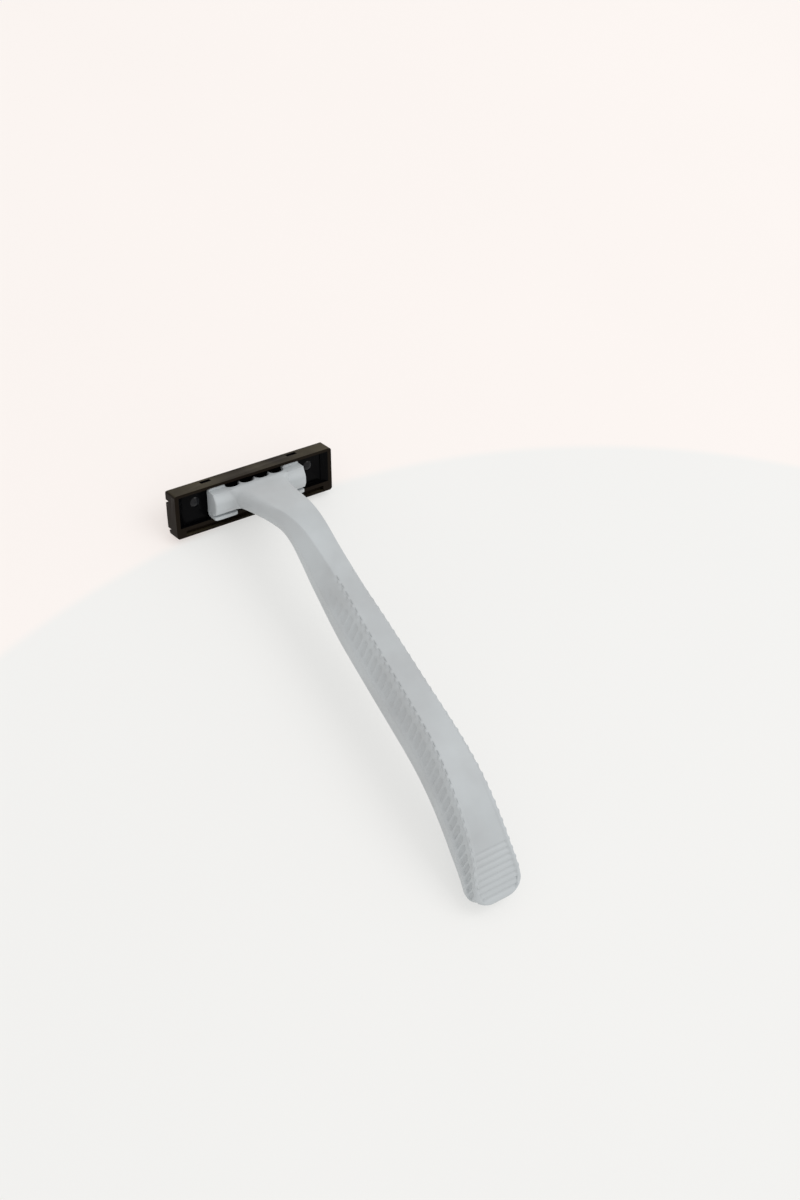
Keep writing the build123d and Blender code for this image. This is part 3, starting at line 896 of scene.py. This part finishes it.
@dataclass
class HandleSkin:
    """T-bar, neck, ribbed grip and rounded tail as one skin carried along the top line.

    The T-bar's rows are four times as fine round the section as the others, so that the
    pockets in its top keep their edges.
    """

    line: TopLine = field(default_factory=TopLine)
    pockets: Pockets = field(default_factory=Pockets)
    ribs: RibBand = field(default_factory=RibBand)
    panel: TailPanel = field(default_factory=TailPanel)
    # how far along, half width of the top face, widest half width, height
    sections: tuple[tuple[float, float, float, float], ...] = (
        (0.0, 7.3, 7.4, 4.8),
        (2.4, 7.05, 7.1, 4.7),
        (5.4, 6.2, 6.35, 4.7),
        (8.5, 5.4, 5.7, 4.75),
        (11.4, 4.75, 5.2, 4.8),
        (18.0, 3.6, 4.7, 5.3),
        (26.6, 2.7, 4.7, 6.8),
        (35.1, 2.4, 5.0, 8.2),
        (50.0, 2.9, 5.5, 9.5),
        (74.1, 3.4, 5.8, 9.6),
        (90.0, 4.3, 6.0, 9.0),
        (103.1, 5.1, 6.3, 7.6),
        (109.5, 5.9, 6.5, 6.0),
        (116.0, 6.7, 6.9, 4.3),
    )
    parting: float = 0.5
    belly: float = 0.88
    # corner cuts at the top edge, the widest line and the belly
    tbar_cuts: Place = (0.12, 0.3, 0.3)
    shaft_cuts: Place = (0.27, 0.35, 1.2)
    tbar_half: float = 12.0
    tbar_front: float = 3.4
    tbar_back: float = 6.3
    tbar_top: float = 1.5
    tbar_height: float = 5.0
    tbar_edge: float = 0.4
    edge_shrink: float = 0.6
    neck_from: float = 7.9
    sweep: float = 1.2
    root_ease: float = 2.0
    root_reach: float = 17.0
    wing_lean: float = 1.0
    swell_down: Span = (0.0, 2.4)
    foot_down: Span = (3.6, 4.9)
    foot_share: float = 0.45
    lead_share: float = 0.35
    ledge: float = 0.14
    ledge_from: Span = (0.75, 0.6)
    ledge_half: Span = (7.6, 7.1)
    edge_inward: float = 0.8
    edge_on_top: float = 0.6
    edge_on_side: float = 0.1
    tail_round: float = 3.6
    lip: float = 1.1
    lip_run: Span = (7.0, 2.0)
    lip_drop: float = 0.8
    # points on each straight and each corner of the half outline
    columns: tuple[int, ...] = (20, 5, 20, 3, 6, 3, 3)
    ratio: int = 4
    # rows on the wing's flank, its rounded edge, its back and the sweep into the neck
    tbar_counts: tuple[int, ...] = (24, 6, 5, 12)
    neck_rows: int = 54
    rows_per_rib: int = 12
    tail_step: float = 0.12
    tip_rows: int = 26
    crease_angle: float = 48.0

    def _outline(self, girth: Girth, ratio: int) -> tuple[np.ndarray, np.ndarray, np.ndarray]:
        """Work out the right half of each row's cross-section.

        The half outline runs from the middle of the top face out to its edge, down the side
        to the widest line, in to the belly's edge and back to the middle. Straight stretches
        join three corners, each a quadratic curve (1-t)^2 a + 2t(1-t) b + t^2 c between the
        points where its cuts start and end. The side share runs 0 to 1 from the top edge to
        the widest line, is negative on the top face, where it is the distance from the edge
        in millimetres, and is 2 below the widest line.

        Args:
            girth: sizes of each row.
            ratio: how many times finer than the coarse rows.

        Returns:
            x, depth and side share of each point, one row per section.
        """
        zero = np.zeros_like(girth.top)
        corner = [
            np.stack([girth.top, zero], -1),
            np.stack([girth.wide, self.parting * girth.height], -1),
            np.stack([girth.belly * girth.wide, girth.height], -1),
        ]
        ends = [np.stack([zero, zero], -1), np.stack([zero, girth.height], -1)]
        cuts = [girth.top_cut, girth.side_cut, girth.belly_cut]
        path = [ends[0], *corner, ends[1]]

        def toward(a: np.ndarray, b: np.ndarray, reach: np.ndarray) -> np.ndarray:
            """Return the points that lie reach from a towards b."""
            way = b - a
            return a + way / np.linalg.norm(way, axis=-1, keepdims=True) * reach[:, None]

        knots = [ends[0]]
        for index, (middle, cut) in enumerate(zip(corner, cuts)):
            knots += [toward(middle, path[index], cut), toward(middle, path[index + 2], cut)]
        knots.append(ends[1])
        parts = []
        for index, count in enumerate(self.columns):
            t = (np.arange(count * ratio) / (count * ratio))[None, :, None]
            a, b = knots[index][:, None, :], knots[index + 1][:, None, :]
            if index % 2:
                middle = corner[index // 2][:, None, :]
                parts.append((1 - t) ** 2 * a + 2 * t * (1 - t) * middle + t**2 * b)
            else:
                parts.append(a + (b - a) * t)
        parts.append(ends[1][:, None, :])
        half = np.concatenate(parts, axis=1)
        top_end, _, side_end = np.cumsum(self.columns)[:3] * ratio
        number = np.arange(half.shape[1])[None, :]
        down_side = half[..., 1] / (self.parting * girth.height)[:, None]
        share = np.where(number < top_end, half[..., 0] - girth.top[:, None], down_side)
        share = np.where(number > side_end, 2.0, share)
        return half[..., 0], half[..., 1], share

    def _whole(self, half: np.ndarray, sign: float) -> np.ndarray:
        """Return the closed ring: the right half, then the left half back up, times sign."""
        return np.concatenate([half[:, :-1], sign * half[:, :0:-1]], axis=1)

    def _set_on_line(
        self, x: np.ndarray, depth: np.ndarray, back: np.ndarray, down: np.ndarray, turn: np.ndarray
    ) -> np.ndarray:
        """Set each section square to the top line.

        Args:
            x: place of each point across the handle.
            depth: depth of each point under the line.
            back: how far back the line is at each section.
            down: how far down it is there.
            turn: its turn there.

        Returns:
            The points in the row frame, in metres.
        """
        q = back[:, None] - depth * np.sin(turn)[:, None]
        p = down[:, None] + depth * np.cos(turn)[:, None]
        return HEAD.place(x, p, q)

    def _sizes(self, along: np.ndarray) -> np.ndarray:
        """Return half width of the top face, widest half width and height at each distance."""
        table = np.array(self.sections)
        return soft_lines(table[:, 0], table[:, 1:], along)

    def _tbar_rows(self) -> tuple[Girth, np.ndarray, np.ndarray]:
        """Work out the T-bar's sections.

        In plan the half width follows the wing's flank, its rounded edge, its back and the
        hollow sweep into the neck, which is a quarter of an ellipse.

        Returns:
            The sections, how far back each one lies, and its share of neck.
        """
        flank_rows, edge_rows, back_rows, sweep_rows = self.tbar_counts
        flank = np.linspace(self.tbar_front, self.tbar_back - self.tbar_edge, flank_rows)
        arc = np.linspace(0, math.pi / 2, edge_rows)[1:]
        neck = self._sizes(np.array([self.neck_from - self.line.start_back]))[0]
        sweep_from = neck[0] + self.sweep
        plate = np.linspace(self.tbar_half - self.tbar_edge, sweep_from, back_rows)[1:]
        bend = np.linspace(0, math.pi / 2, sweep_rows)[1:]
        back = np.concatenate([
            flank,
            self.tbar_back - self.tbar_edge + self.tbar_edge * np.sin(arc),
            np.full(plate.shape, self.tbar_back),
            self.tbar_back + (self.neck_from - self.tbar_back) * (1 - np.cos(bend)),
        ])
        half = np.concatenate([
            np.full(flank.shape, self.tbar_half),
            self.tbar_half - self.tbar_edge * (1 - np.cos(arc)),
            plate,
            sweep_from - self.sweep * np.sin(bend),
        ])
        before_sweep = len(flank) + len(arc) + len(plate)
        blend = np.concatenate([np.zeros(before_sweep), np.sin(bend) ** 2])
        rounded = np.concatenate([
            np.zeros(flank.shape), 1 - np.cos(arc), np.ones(plate.shape), 1 - np.sin(bend) ** 2
        ])
        shrink = self.tbar_edge * self.edge_shrink * rounded
        top_cut, side_cut, belly_cut = self.tbar_cuts
        neck_top_cut = self.shaft_cuts[0] + self.root_ease
        rows = Girth(
            top=half,
            wide=half + (neck[1] - neck[0]) * blend,
            height=self.tbar_height + (neck[2] - self.tbar_height) * blend - shrink,
            belly=1.0 + (self.belly - 1.0) * blend,
            top_cut=top_cut + (neck_top_cut - top_cut) * blend,
            side_cut=np.full(half.shape, side_cut),
            belly_cut=belly_cut + (self.shaft_cuts[2] - belly_cut) * blend,
        )
        return rows, back, blend

    def _wing_shift(self, depth: np.ndarray, back: np.ndarray, blend: np.ndarray) -> np.ndarray:
        """Work out how far back each T-bar point moves, so that the wings' back faces lean.

        The face starts the lead share of the lean in at the top, swells backwards over its
        upper half and draws in again at the foot.

        Args:
            depth: depth of each point under the T-bar's top.
            back: how far back each row lies.
            blend: each row's share of neck, where nothing moves.

        Returns:
            The shift at each point.
        """
        foot = self.foot_share * smooth_step(*self.foot_down, depth)
        swell = smooth_step(*self.swell_down, depth) - foot - self.lead_share
        reach = self.tbar_back - self.tbar_front
        share = (np.minimum(back, self.tbar_back) - self.tbar_front) / reach
        return self.wing_lean * swell * (share**2 * (1 - blend))[:, None]

    def _shaft_stations(self) -> np.ndarray:
        """Space the shaft's sections, closest at the ribs and the tail's end.

        Returns:
            How far along each section lies.
        """
        _, _, _, end = self.line.stations
        rib_from = self.ribs.start + self.ribs.fade_in[0]
        tail_from = end - self.panel.run
        neck = np.linspace(self.neck_from - self.line.start_back, rib_from, self.neck_rows)
        ribs = np.arange(rib_from, tail_from, self.ribs.pitch / self.rows_per_rib)
        tail = np.arange(tail_from + self.tail_step / 2, end - self.tail_round, self.tail_step)
        quarter = np.linspace(0, math.pi / 2, self.tip_rows)
        rounding = end - self.tail_round * (1 - np.sin(quarter))
        return np.concatenate([neck[1:-1], ribs, tail, rounding])

    def _tbar(self) -> tuple[np.ndarray, np.ndarray]:
        """Work out the T-bar.

        Returns:
            Its points, and their painted shade: 1 in a pocket, else 0.
        """
        girth, back, blend = self._tbar_rows()
        x, depth, _ = self._outline(girth, self.ratio)
        x, depth = self._whole(x, -1.0), self._whole(depth, 1.0)
        on_top = depth < 0.5 * self.tbar_top
        pocket = self.pockets.cut(x, back) * on_top
        level = self.tbar_top + (self.line.start_down - self.tbar_top) * blend
        far, near = self.ledge_from
        behind = smooth_step(self.tbar_back - far, self.tbar_back - near, back) * (1 - blend)
        between = smooth_step(*self.ledge_half, np.abs(x))
        raised = self.ledge * behind[:, None] * between * on_top
        shift = self._wing_shift(depth, back, blend)
        points = HEAD.place(x, level[:, None] + depth + pocket - raised, back[:, None] + shift)
        # the pockets' painted shade, full once a pocket is 1 mm deep
        return points, np.clip(pocket, 0, 1)

    def _shaft_girth(self, along: np.ndarray, plan: np.ndarray) -> Girth:
        """Work out the shaft's sections; its top edge is softer at the root and at the tip.

        Args:
            along: how far along each section lies.
            plan: share of the full width that the rounded tip leaves.

        Returns:
            The sections.
        """
        _, _, _, end = self.line.stations
        sizes = self._sizes(along)
        kept = np.maximum(plan, 1e-3)
        early = smooth_step(self.root_reach, self.neck_from - self.line.start_back, along)
        late = smooth_step(end - self.lip_run[0], end - self.lip_run[1], along)
        top_cut, side_cut, belly_cut = self.shaft_cuts
        return Girth(
            top=np.maximum(sizes[:, 0] * plan, 1e-4),
            wide=np.maximum(sizes[:, 1] * plan, 2e-4),
            height=sizes[:, 2],
            belly=np.full(along.shape, self.belly),
            top_cut=(top_cut + self.root_ease * early + self.lip * late) * kept,
            side_cut=side_cut * kept,
            belly_cut=belly_cut * kept,
        )

    def _inward(self, share: np.ndarray) -> np.ndarray:
        """Work out how much of a groove's cut goes inwards; the rest of it goes down.

        It grows from none on the top face to most of the cut at the edge, and is all of it
        from a little way down the side.

        Args:
            share: side share of each point.

        Returns:
            The inward part at each point.
        """
        on_face = self.edge_inward * smooth_step(-self.edge_on_top, 0.0, share)
        further = np.clip(share / self.edge_on_side, 0, 1)
        on_side = self.edge_inward + (1 - self.edge_inward) * further
        return np.where(share < 0, on_face, on_side)

    def _shaft(self) -> tuple[np.ndarray, np.ndarray]:
        """Work out the shaft.

        In plan the tip is a quarter of an ellipse on each side, and its top face drops over
        the lip by a quarter of a circle that fades towards the belly.

        Returns:
            Its points, and their shelter: the cut as a share of a full groove.
        """
        along = self._shaft_stations()
        _, _, _, end = self.line.stations
        tip = np.clip((along - end + self.tail_round) / self.tail_round, 0, 1)
        plan = np.sqrt(np.clip(1 - tip**2, 0, 1))
        girth = self._shaft_girth(along, plan)
        back, down, turn = self.line.at(along)
        x, depth, share = self._outline(girth, 1)

        groove = self.ribs.cut(along, turn, depth, share) * plan[:, None]
        inward = self._inward(share)
        x = np.maximum(x - groove * inward - self.ribs.band(along, share) * plan[:, None], 0.0)
        panel = self.panel.cut(along, x, girth.top, self.line)
        sunk = groove * np.sqrt(1 - inward**2) + (share < 0) * panel
        # painted shade in the grooves and the tail's dish, by their depth as a share of a full
        # groove
        painted_shade = np.clip(self._whole(np.maximum(groove, sunk), 1.0) / self.ribs.depth, 0, 1)

        lip = self.lip * self.lip_drop
        over = np.clip((along - end + lip) / lip, 0, 1)
        drop = (lip * (1 - np.sqrt(1 - over**2)))[:, None]
        depth = depth + sunk + drop * (1 - depth / girth.height[:, None])
        x, depth = self._whole(x, -1.0), self._whole(depth, 1.0)
        return self._set_on_line(x, depth, back, down, turn), painted_shade

    def build(self, finish: bpy.types.Material) -> bpy.types.Object:
        """Build the skin as one closed piece.

        Args:
            finish: the handle's material.

        Returns:
            The piece, which stands for the CAD handle.
        """
        fine, fine_painted_shade = self._tbar()
        coarse, coarse_painted_shade = self._shaft()
        rows, count = fine.shape[:2]
        more_rows, fewer = coarse.shape[:2]
        points = np.concatenate([fine.reshape(-1, 3), coarse.reshape(-1, 3)])
        painted_shade = np.concatenate([fine_painted_shade.ravel(), coarse_painted_shade.ravel()])
        faces = [
            list(range(count)),
            *ring_faces(rows, count).tolist(),
            *joining_faces((rows - 1) * count, rows * count, fewer, self.ratio).tolist(),
            *ring_faces(more_rows, fewer, rows * count).tolist(),
        ]
        piece = mesh_piece(
            "handle_skin", points, faces, Body.HANDLE, finish,
            self.crease_angle,
        )
        # store the painted shade that darkens the pockets, the grooves and the dish
        store_at_points(piece, "painted_shade", points, painted_shade)
        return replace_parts(piece, "handle")


@dataclass
class TBarTrim:
    """What stands on the T-bar: end pads that seat in the cartridge, and the lower flanges."""

    half: float = 12.0
    pad_length: float = 4.5
    pad_front: float = 2.75
    pad_back: float = 3.9
    pad_top: float = 0.76
    pad_bottom: float = 8.24
    flange_from: float = 6.0
    flange_front: float = 3.4
    flange_back: float = 6.25
    flange_top: float = 6.3
    flange_bottom: float = 8.0
    groove_top: float = 6.55
    groove_bottom: float = 7.1
    groove_back: float = 5.6
    overlap: float = 0.1
    inset: float = 0.05
    power: float = 7.0

    def _block(
        self, low: Sequence[float], high: Sequence[float], rows: int = 18, columns: int = 48
    ) -> tuple[np.ndarray, list[list[int]]]:
        """Work out a soft-edged block.

        A superquadric: with c and s the signed powers cos^(2/n) and sin^(2/n) of the latitude
        and longitude, a point is (c_lat c_lon, c_lat s_lon, s_lat) times the half sizes.

        Args:
            low: smallest x, down and back.
            high: largest x, down and back.
            rows: points from pole to pole.
            columns: points round the block.

        Returns:
            The block's points in the row frame, and its quads.
        """
        def bent(value: np.ndarray) -> np.ndarray:
            """Return the signed power 2 / n of the value."""
            return np.sign(value) * np.abs(value) ** (2.0 / self.power)

        lat = np.linspace(-math.pi / 2, math.pi / 2, rows)[:, None]
        lon = np.linspace(0, 2 * math.pi, columns, endpoint=False)[None, :] + math.pi / 4
        middle = (np.array(low) + np.array(high)) / 2
        half = (np.array(high) - np.array(low)) / 2
        x = middle[0] + half[0] * bent(np.sin(lat)) * np.ones_like(lon)
        down = middle[1] + half[1] * bent(np.cos(lat)) * bent(np.cos(lon))
        back = middle[2] + half[2] * bent(np.cos(lat)) * bent(np.sin(lon))
        points = HEAD.place(x, down, back)
        return points.reshape(-1, 3), ring_faces(rows, columns).tolist()

    def build(self, finish: bpy.types.Material) -> list[bpy.types.Object]:
        """Build the pads and flanges.

        Args:
            finish: the handle's material.

        Returns:
            One piece for each side.
        """
        pad = (self.half - self.pad_length, self.half)
        flange = (self.flange_from, self.half - self.inset)
        # along the head, then top, bottom, front and back
        blocks = (
            (pad, self.pad_top, self.pad_bottom, self.pad_front, self.pad_back),
            (flange, self.flange_top, self.groove_top + self.overlap, self.flange_front,
             self.groove_back),
            (flange, self.groove_top, self.groove_bottom, self.flange_front, self.groove_back),
            (flange, self.groove_bottom, self.flange_bottom, self.flange_front,
             self.flange_back),
        )
        made = []
        for side, word in ((-1, "left"), (1, "right")):
            points, faces, count = [], [], 0
            for reach, top, bottom, front, back in blocks:
                near, far = sorted(side * value for value in reach)
                some, quads = self._block((near, top, front), (far, bottom, back))
                points.append(some)
                faces += [[corner + count for corner in quad] for quad in quads]
                count += len(some)
            piece = mesh_piece(
                f"tbar_seat_{word}", np.concatenate(points), faces, Body.HANDLE, finish,
            )
            made.append(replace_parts(piece, "handle"))
        return made


# ---- cartridge -----------------------------------------------------------------------------------
@dataclass
class Cartridge:
    """The blade head: tray and cap with eased edges, and the dressed blade stack."""

    edge_ease: float = 0.13
    ease_rows: int = 2
    flat_within: float = 2.0
    crease_angle: float = 28.0
    ease_angle: float = 30.0
    cavity_down: Span = (0.6, 8.4)
    cavity_back: Span = (2.6, 4.05)
    cavity_half: float = 19.72
    window_down: float = 0.04
    window_back: float = 0.3
    # facing at which the painted shade on a face begins and where it is full
    facing_up: Span = (0.9, 0.6)

    def _eased(
        self, node: str, name: str, finish: bpy.types.Material
    ) -> bpy.types.Object:
        """Copy a CAD node and ease its hard edges by a narrow bevel.

        Args:
            node: the CAD node it stands for.
            name: the new piece's name.
            finish: its material.

        Returns:
            The new piece.
        """
        work = bmesh.new()
        work.from_mesh(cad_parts[node].data)
        bmesh.ops.remove_doubles(work, verts=work.verts, dist=SAME_CAD_POINT)
        bmesh.ops.dissolve_limit(
            work, angle_limit=math.radians(self.flat_within), verts=work.verts, edges=work.edges
        )
        mesh = bpy.data.meshes.new(name)
        work.to_mesh(mesh)
        work.free()
        mesh.materials.clear()
        mesh.materials.append(finish)
        mesh.shade_smooth()
        mesh.set_sharp_from_angle(angle=math.radians(self.crease_angle))
        piece = bpy.data.objects.new(name, mesh)
        bpy.context.scene.collection.objects.link(piece)
        bevel = piece.modifiers.new("eased_edges", "BEVEL")
        bevel.width = self.edge_ease * MM
        bevel.segments = self.ease_rows
        bevel.limit_method = "ANGLE"
        bevel.angle_limit = math.radians(self.ease_angle)
        bevel.use_clamp_overlap = True
        bevel.harden_normals = False
        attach(piece, Body.CARTRIDGE.value)
        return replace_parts(piece, node)

    def dress(self, node: str, finish: bpy.types.Material) -> bpy.types.Object:
        """Give a CAD node its finish.

        Args:
            node: the node's name.
            finish: its material.

        Returns:
            The node.
        """
        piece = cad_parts[node]
        piece.data.materials.clear()
        piece.data.materials.append(finish)
        return piece

    def _paint_shade(self, piece: bpy.types.Object, cavity_shade: bpy.types.Material) -> bpy.types.Object:
        """Give the faces in the open back and the windows a very dark finish of painted shade.

        A face is in the open back when its middle lies between the top wall and the ledge,
        behind the floor and short of the rim and the end walls. A window's wall lies within
        the top wall. Each face also stores painted shade, which runs from 0 where the face looks
        up from the head's top to 1 where it looks aside or down.

        Args:
            piece: tray or cap.
            cavity_shade: the very dark finish that paints shade in the open back and the windows.

        Returns:
            The same piece.
        """
        mesh = piece.data
        mesh.materials.append(cavity_shade)
        middle, normal = np.empty(len(mesh.polygons) * 3), np.empty(len(mesh.polygons) * 3)
        mesh.polygons.foreach_get("center", middle)
        mesh.polygons.foreach_get("normal", normal)
        x, down, back = HEAD.local(middle.reshape(-1, 3))
        (wall, ledge), (floor, rim) = self.cavity_down, self.cavity_back
        in_back = (down > wall) & (down < ledge) & (back > floor)
        in_window = (down > self.window_down) & (down < wall) & (back > self.window_back)
        inside = (in_back | in_window) & (back < rim) & (np.abs(x) < self.cavity_half)
        # painted shade: the open back and the windows take the very dark second finish
        mesh.polygons.foreach_set("material_index", inside.astype(np.int32))
        # painted shade: faces that look aside or down are darkened, and faces that look up stay lit
        painted_shade = smooth_step(*self.facing_up, normal.reshape(-1, 3) @ np.array(HEAD.up))
        layer = mesh.attributes.new("painted_shade", "FLOAT", "FACE")
        layer.data.foreach_set("value", painted_shade.astype(np.float32))
        return piece

    def build(
        self, plastic: bpy.types.Material, cavity_shade: bpy.types.Material, pin_shade: bpy.types.Material
    ) -> list[bpy.types.Object]:
        """Build the cartridge.

        Args:
            plastic: the mouldings' material.
            cavity_shade: the very dark finish that paints shade inside the open back.
            pin_shade: the very dark, glossy finish that paints shade on the cap's pin heads there.

        Returns:
            Its pieces.
        """
        tray = self._eased("cartridge_tray", "tray_moulding", plastic)
        cap = self._eased("cartridge_cap", "cap_moulding", plastic)
        return [
            self._paint_shade(tray, cavity_shade),
            self._paint_shade(cap, pin_shade),
            self.dress("guard_blade", HonedSteel("guard_blade_steel").make()),
            self.dress("cap_blade", HonedSteel("cap_blade_steel").make()),
            self.dress("blade_spacer", StampedAluminium("spacer_aluminium").make()),
            self.dress("lubricating_strip", WaxyStrip("strip_polymer").make()),
        ]


# ---- studio --------------------------------------------------------------------------------------
@dataclass(frozen=True)
class SoftBox:
    """A large soft light: where it stands, its size in metres and its power in watts."""

    name: str
    place: Place
    size: float
    power: float
    colour: Colour = (1.0, 1.0, 1.0)

    def build(self, target: Vector) -> bpy.types.Object:
        """Build the light.

        Args:
            target: the place it faces, in metres.

        Returns:
            The light.
        """
        light = bpy.data.lights.new(self.name, "AREA")
        light.shape = "DISK"
        light.size = self.size
        light.energy = self.power
        light.color = self.colour
        made = bpy.data.objects.new(self.name, light)
        made.location = self.place
        made.rotation_mode = "QUATERNION"
        made.rotation_quaternion = (target - Vector(self.place)).to_track_quat("-Z", "Y")
        bpy.context.scene.collection.objects.link(made)
        return made


@dataclass
class Studio:
    """Pale floor, soft light, even surroundings and the camera; lengths in metres."""

    camera_place: Place = (-0.172234, -0.109125, 0.305480)
    camera_right: Place = (0.8053, -0.51064, 0.30114)
    camera_down: Place = (-0.3098, -0.79559, -0.52069)
    lens: float = 50.0
    near_clip: float = 0.01
    floor_half: float = 4.0
    light_target: Place = (0.0, 0.0, 0.01)
    sky: Colour = (1.0, 0.992, 0.985)
    sky_strength: float = 0.86
    lights: tuple[SoftBox, ...] = (
        SoftBox("key_softbox", (0.5, -0.15, 1.1), 0.9, 3.6, (1.0, 0.995, 0.99)),
    )

    def _camera(self) -> None:
        """Place the camera: its axes are right, up and backwards."""
        right = Vector(self.camera_right).normalized()
        up = -Vector(self.camera_down)
        up = (up - right * up.dot(right)).normalized()
        away = right.cross(up)
        camera = bpy.data.cameras.new("camera")
        camera.lens = self.lens
        camera.clip_start = self.near_clip
        made = bpy.data.objects.new("camera", camera)
        axes = Matrix((right, up, away)).transposed().to_4x4()
        made.matrix_world = Matrix.Translation(self.camera_place) @ axes
        bpy.context.scene.collection.objects.link(made)
        bpy.context.scene.camera = made

    def _floor(self) -> None:
        """Lay the floor as one wide quad at z = 0."""
        size = self.floor_half
        mesh = bpy.data.meshes.new("floor")
        corners = [(-size, -size, 0), (size, -size, 0), (size, size, 0), (-size, size, 0)]
        mesh.from_pydata(corners, [], [(0, 1, 2, 3)])
        mesh.materials.append(PaleFloor().make())
        made = bpy.data.objects.new("floor", mesh)
        bpy.context.scene.collection.objects.link(made)

    def _sky(self) -> None:
        """Fill the surroundings with even soft light."""
        world = bpy.data.worlds.new("soft_surroundings")
        world.use_nodes = True
        background = world.node_tree.nodes["Background"]
        background.inputs["Color"].default_value = four(self.sky)
        background.inputs["Strength"].default_value = self.sky_strength
        bpy.context.scene.world = world

    def build(self) -> None:
        """Make the floor, the lights, the surroundings and the camera."""
        bpy.context.scene.view_settings.view_transform = "Standard"
        self._floor()
        self._sky()
        for light in self.lights:
            light.build(Vector(self.light_target))
        self._camera()


def main() -> None:
    """Build the razor and its studio, and report each piece."""
    logging.basicConfig(level=logging.INFO, format="%(name)s: %(message)s")
    Studio().build()
    # painted shade pulls the handle's pockets and grooves up to 0.3 of the way to shade
    grey = MouldedPlastic(
        "handle_plastic", (0.49, 0.522, 0.538), (0.425, 0.445, 0.456), (0.57, 0.595, 0.605),
        painted_shade_share=0.3,
    ).make()
    # colour is the lit top's tone; painted shade pulls faces that look aside or down nearly all the
    # way to the dark shade
    brown = MouldedPlastic(
        "cartridge_plastic", (0.054, 0.045, 0.027), (0.008, 0.005, 0.003), (0.07, 0.06, 0.042),
        grain_depth=0.003, handling=0.3, specular=0.05, painted_shade_share=0.95,
    ).make()
    # painted shade: the open back and the windows are darker and duller than the tray's own plastic
    painted_cavity_shade = MouldedPlastic(
        "cavity_painted_shade", (0.0015, 0.0015, 0.002), (0.001, 0.001, 0.0012), (0.004, 0.004, 0.005),
        roughness=0.22, grain_depth=0.002, handling=0.2, specular=0.045,
    ).make()
    # painted shade on the cap's faces in the open back, kept glossy so that the pin heads still
    # reflect the light
    pin_shade = MouldedPlastic(
        "pin_painted_shade", (0.002, 0.002, 0.004), (0.001, 0.001, 0.002), (0.006, 0.006, 0.009),
        roughness=0.1, grain_depth=0.001, handling=0.2, specular=0.3,
    ).make()
    cartridge = Cartridge().build(brown, painted_cavity_shade, pin_shade)
    pieces = [HandleSkin().build(grey), *TBarTrim().build(grey), *cartridge]
    for piece in pieces:
        LOG.info("%s: %d faces", piece.name, len(piece.data.polygons))


if __name__ == "__main__":
    main()
